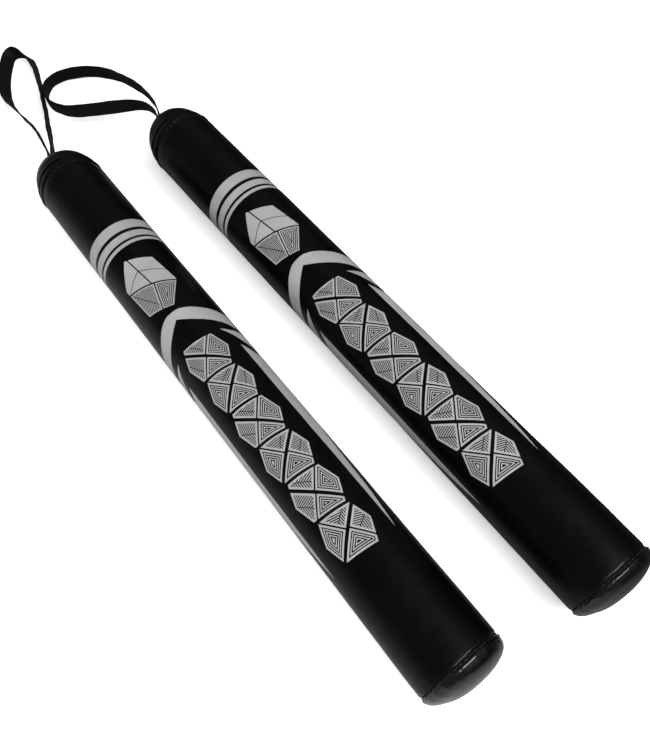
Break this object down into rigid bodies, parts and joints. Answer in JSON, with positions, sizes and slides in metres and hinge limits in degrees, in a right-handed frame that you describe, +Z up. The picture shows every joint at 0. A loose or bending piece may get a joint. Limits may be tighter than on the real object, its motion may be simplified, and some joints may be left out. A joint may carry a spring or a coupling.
{
  "type": "focus training sticks",
  "caption": "Pair of padded round focus sticks with sewn black covers, domed ends and webbing wrist loops, laid side by side.",
  "frame": {"origin": "on the floor, midway between the two stick axes, and halfway from the far end of the left wrist loop to the tip of the right stick", "axes": "+X from the wrist loops towards the tips, +Y from the left stick to the right stick, +Z up"},
  "size_m": [0.8522, 0.1782, 0.065],
  "materials": {
    "core_plastic": "matt extruded rigid plastic",
    "plug_plastic": "matt moulded plastic",
    "foam": "closed-cell foam",
    "cover_leather": "semi-matt coated leather, fine grain",
    "cap_leather": "satin coated leather",
    "print_silver": "matt silver-grey screen print",
    "thread": "bonded nylon sewing thread",
    "webbing": "woven nylon webbing",
    "pin_steel": "plain steel pin"
  },
  "bodies": {
    "left_stick": {"left_core_tube": "core_plastic", "left_tip_plug": "plug_plastic", "left_butt_plug": "plug_plastic", "left_foam_sleeve": "foam", "left_tip_pad": "foam", "left_butt_pad": "foam", "left_cover_sleeve": "cover_leather", "left_tip_cap": "cap_leather", "left_butt_cap": "cap_leather", "left_tip_seam_stitches": "thread", "left_butt_seam_stitches": "thread", "left_side_seam_stitches": "thread", "left_neck_tie": "thread"},
    "left_strap_anchor": {"left_strap_tab": "webbing", "left_strap_washer": "plug_plastic", "left_strap_pin": "pin_steel"},
    "left_wrist_loop": {"left_wrist_strap": "webbing", "left_strap_bartack": "thread"},
    "right_stick": {"right_core_tube": "core_plastic", "right_tip_plug": "plug_plastic", "right_butt_plug": "plug_plastic", "right_foam_sleeve": "foam", "right_tip_pad": "foam", "right_butt_pad": "foam", "right_cover_sleeve": "cover_leather", "right_tip_cap": "cap_leather", "right_butt_cap": "cap_leather", "right_tip_seam_stitches": "thread", "right_butt_seam_stitches": "thread", "right_side_seam_stitches": "thread", "right_neck_tie": "thread"},
    "right_strap_anchor": {"right_strap_tab": "webbing", "right_strap_washer": "plug_plastic", "right_strap_pin": "pin_steel"},
    "right_wrist_loop": {"right_wrist_strap": "webbing", "right_strap_bartack": "thread"}
  },
  "joints": [
    {"name": "right_stick_lift", "type": "slide", "parent": "left_stick", "child": "right_stick", "axis": [0, 0, 1], "range_m": [0, 0.3]},
    {"name": "left_strap_twist", "type": "hinge", "parent": "left_stick", "child": "left_strap_anchor", "pos_m": [-0.20451, -0.0566, 0.0325], "axis": [1, 0, 0], "range_deg": [0, 180]},
    {"name": "left_strap_swing", "type": "hinge", "parent": "left_strap_anchor", "child": "left_wrist_loop", "pos_m": [-0.20451, -0.0566, 0.0325], "axis": [0, -1, 0], "range_deg": [-100, 0]},
    {"name": "right_strap_twist", "type": "hinge", "parent": "right_stick", "child": "right_strap_anchor", "pos_m": [-0.18381, 0.0566, 0.0325], "axis": [1, 0, 0], "range_deg": [-180, 0]},
    {"name": "right_strap_swing", "type": "hinge", "parent": "right_strap_anchor", "child": "right_wrist_loop", "pos_m": [-0.18381, 0.0566, 0.0325], "axis": [0, 1, 0], "range_deg": [0, 100]}
  ]
}
